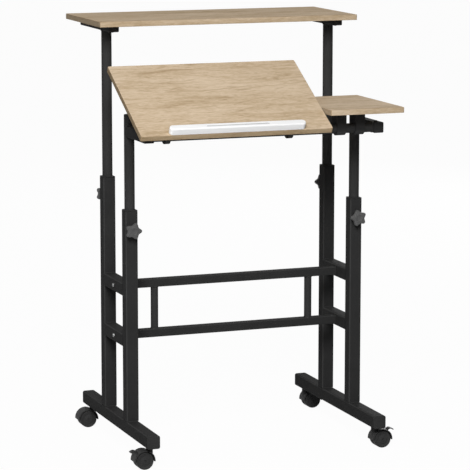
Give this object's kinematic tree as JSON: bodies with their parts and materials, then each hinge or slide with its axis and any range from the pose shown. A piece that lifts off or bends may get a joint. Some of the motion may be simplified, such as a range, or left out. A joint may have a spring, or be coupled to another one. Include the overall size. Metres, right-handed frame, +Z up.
{
  "type": "sit-stand desk",
  "caption": "Two-level sit-stand desk on casters: black tube frame, height-adjustable rear shelf, tilting desktop with a front edge stop and a level side tray.",
  "frame": {"origin": "on the floor under the middle of the desk's bounding box, with the desk at the heights and the tilt of the picture", "axes": "+Z up, +X towards the side with the level tray (the right as seen from the front), -Y towards the user at the front"},
  "size_m": [0.8148, 0.716, 1.25],
  "materials": {
    "coated_steel": "satin black powder coat on steel tube",
    "oak_board": "light oak laminate on board, grain along the width, matt",
    "black_plastic": "moulded black plastic, fine matt grain",
    "knob_plastic": "moulded black plastic star knob, satin",
    "caster_plastic": "moulded black nylon, satin",
    "wheel_plastic": "moulded black nylon wheel with a smooth tread",
    "white_plastic": "moulded white plastic, soft gloss"
  },
  "bodies": {
    "base_frame": {"foot_left": "coated_steel", "foot_right": "coated_steel", "foot_cap_front_left": "black_plastic", "foot_cap_front_right": "black_plastic", "foot_cap_rear_left": "black_plastic", "foot_cap_rear_right": "black_plastic", "leg_front_left": "coated_steel", "leg_front_right": "coated_steel", "leg_rear_left": "coated_steel", "leg_rear_right": "coated_steel", "side_rail_lower_left": "coated_steel", "side_rail_lower_right": "coated_steel", "side_rail_upper_left": "coated_steel", "side_rail_upper_right": "coated_steel", "cross_bar_lower": "coated_steel", "cross_bar_upper": "coated_steel", "strut_left": "coated_steel", "strut_right": "coated_steel", "collar_front_left": "black_plastic", "collar_front_right": "black_plastic", "collar_rear_left": "black_plastic", "collar_rear_right": "black_plastic"},
    "shelf_lift": {"upright_rear_left": "coated_steel", "upright_rear_right": "coated_steel", "shelf_bracket_left": "coated_steel", "shelf_bracket_right": "coated_steel", "shelf": "oak_board"},
    "desk_lift": {"upright_front_left": "coated_steel", "upright_front_right": "coated_steel", "upright_cap_left": "black_plastic", "upright_cap_right": "black_plastic", "arm_left": "coated_steel", "arm_right": "coated_steel", "pivot_bar": "coated_steel", "tray_bracket_inner": "coated_steel", "tray_bracket_outer": "coated_steel", "tray": "oak_board"},
    "tilt_board": {"tilt_board": "oak_board", "edge_stop": "white_plastic", "hinge_clamp_outer": "coated_steel", "hinge_clamp_inner": "coated_steel"},
    "knob_front_left": {"knob_front_left": "knob_plastic"},
    "knob_front_right": {"knob_front_right": "knob_plastic"},
    "knob_rear_left": {"knob_rear_left": "knob_plastic"},
    "knob_rear_right": {"knob_rear_right": "knob_plastic"},
    "caster_front_left": {"caster_hood_front_left": "caster_plastic"},
    "wheel_front_left_1": {"wheel_front_left_1": "wheel_plastic"},
    "wheel_front_left_2": {"wheel_front_left_2": "wheel_plastic"},
    "caster_front_right": {"caster_hood_front_right": "caster_plastic"},
    "wheel_front_right_1": {"wheel_front_right_1": "wheel_plastic"},
    "wheel_front_right_2": {"wheel_front_right_2": "wheel_plastic"},
    "caster_rear_left": {"caster_hood_rear_left": "caster_plastic"},
    "wheel_rear_left_1": {"wheel_rear_left_1": "wheel_plastic"},
    "wheel_rear_left_2": {"wheel_rear_left_2": "wheel_plastic"},
    "caster_rear_right": {"caster_hood_rear_right": "caster_plastic"},
    "wheel_rear_right_1": {"wheel_rear_right_1": "wheel_plastic"},
    "wheel_rear_right_2": {"wheel_rear_right_2": "wheel_plastic"},
    "brake_lever_left": {"brake_lever_left": "caster_plastic"},
    "brake_lever_right": {"brake_lever_right": "caster_plastic"}
  },
  "joints": [
    {"name": "shelf_height", "type": "slide", "parent": "base_frame", "child": "shelf_lift", "axis": [0, 0, 1], "range_m": [-0.41, 0.12]},
    {"name": "desk_height", "type": "slide", "parent": "base_frame", "child": "desk_lift", "axis": [0, 0, 1], "range_m": [-0.21, 0.12]},
    {"name": "board_tilt", "type": "hinge", "parent": "desk_lift", "child": "tilt_board", "pos_m": [0, -0.246, 0.947], "axis": [1, 0, 0], "range_deg": [-29, 31]},
    {"name": "knob_front_left_turn", "type": "hinge", "parent": "base_frame", "child": "knob_front_left", "pos_m": [-0.3485, -0.1055, 0.6625], "axis": [0, -1, 0], "range_deg": [0, 720]},
    {"name": "knob_front_right_turn", "type": "hinge", "parent": "base_frame", "child": "knob_front_right", "pos_m": [0.3485, -0.1055, 0.6625], "axis": [0, -1, 0], "range_deg": [0, 720]},
    {"name": "knob_rear_left_turn", "type": "hinge", "parent": "base_frame", "child": "knob_rear_left", "pos_m": [-0.3485, 0.1395, 0.7325], "axis": [0, 1, 0], "range_deg": [0, 720]},
    {"name": "knob_rear_right_turn", "type": "hinge", "parent": "base_frame", "child": "knob_rear_right", "pos_m": [0.3485, 0.1395, 0.7325], "axis": [0, 1, 0], "range_deg": [0, 720]},
    {"name": "caster_front_left_swivel", "type": "hinge", "parent": "base_frame", "child": "caster_front_left", "pos_m": [-0.3485, -0.253, 0.0635], "axis": [0, 0, 1], "continuous": true},
    {"name": "wheel_front_left_1_spin", "type": "hinge", "parent": "caster_front_left", "child": "wheel_front_left_1", "pos_m": [-0.3675, -0.253, 0.0254], "axis": [0, 1, 0], "continuous": true},
    {"name": "wheel_front_left_2_spin", "type": "hinge", "parent": "caster_front_left", "child": "wheel_front_left_2", "pos_m": [-0.3675, -0.253, 0.0254], "axis": [0, 1, 0], "continuous": true},
    {"name": "caster_front_right_swivel", "type": "hinge", "parent": "base_frame", "child": "caster_front_right", "pos_m": [0.3485, -0.253, 0.0635], "axis": [0, 0, 1], "continuous": true},
    {"name": "wheel_front_right_1_spin", "type": "hinge", "parent": "caster_front_right", "child": "wheel_front_right_1", "pos_m": [0.3675, -0.253, 0.0254], "axis": [0, 1, 0], "continuous": true},
    {"name": "wheel_front_right_2_spin", "type": "hinge", "parent": "caster_front_right", "child": "wheel_front_right_2", "pos_m": [0.3675, -0.253, 0.0254], "axis": [0, 1, 0], "continuous": true},
    {"name": "caster_rear_left_swivel", "type": "hinge", "parent": "base_frame", "child": "caster_rear_left", "pos_m": [-0.3485, 0.287, 0.0635], "axis": [0, 0, 1], "continuous": true},
    {"name": "wheel_rear_left_1_spin", "type": "hinge", "parent": "caster_rear_left", "child": "wheel_rear_left_1", "pos_m": [-0.3675, 0.287, 0.0254], "axis": [0, 1, 0], "continuous": true},
    {"name": "wheel_rear_left_2_spin", "type": "hinge", "parent": "caster_rear_left", "child": "wheel_rear_left_2", "pos_m": [-0.3675, 0.287, 0.0254], "axis": [0, 1, 0], "continuous": true},
    {"name": "caster_rear_right_swivel", "type": "hinge", "parent": "base_frame", "child": "caster_rear_right", "pos_m": [0.3485, 0.287, 0.0635], "axis": [0, 0, 1], "continuous": true},
    {"name": "wheel_rear_right_1_spin", "type": "hinge", "parent": "caster_rear_right", "child": "wheel_rear_right_1", "pos_m": [0.3675, 0.287, 0.0254], "axis": [0, 1, 0], "continuous": true},
    {"name": "wheel_rear_right_2_spin", "type": "hinge", "parent": "caster_rear_right", "child": "wheel_rear_right_2", "pos_m": [0.3675, 0.287, 0.0254], "axis": [0, 1, 0], "continuous": true},
    {"name": "brake_lever_left_press", "type": "hinge", "parent": "caster_front_left", "child": "brake_lever_left", "pos_m": [-0.3864, -0.253, 0.04792], "axis": [0, -1, 0], "range_deg": [0, 8]},
    {"name": "brake_lever_right_press", "type": "hinge", "parent": "caster_front_right", "child": "brake_lever_right", "pos_m": [0.3864, -0.253, 0.04792], "axis": [0, 1, 0], "range_deg": [0, 8]}
  ]
}
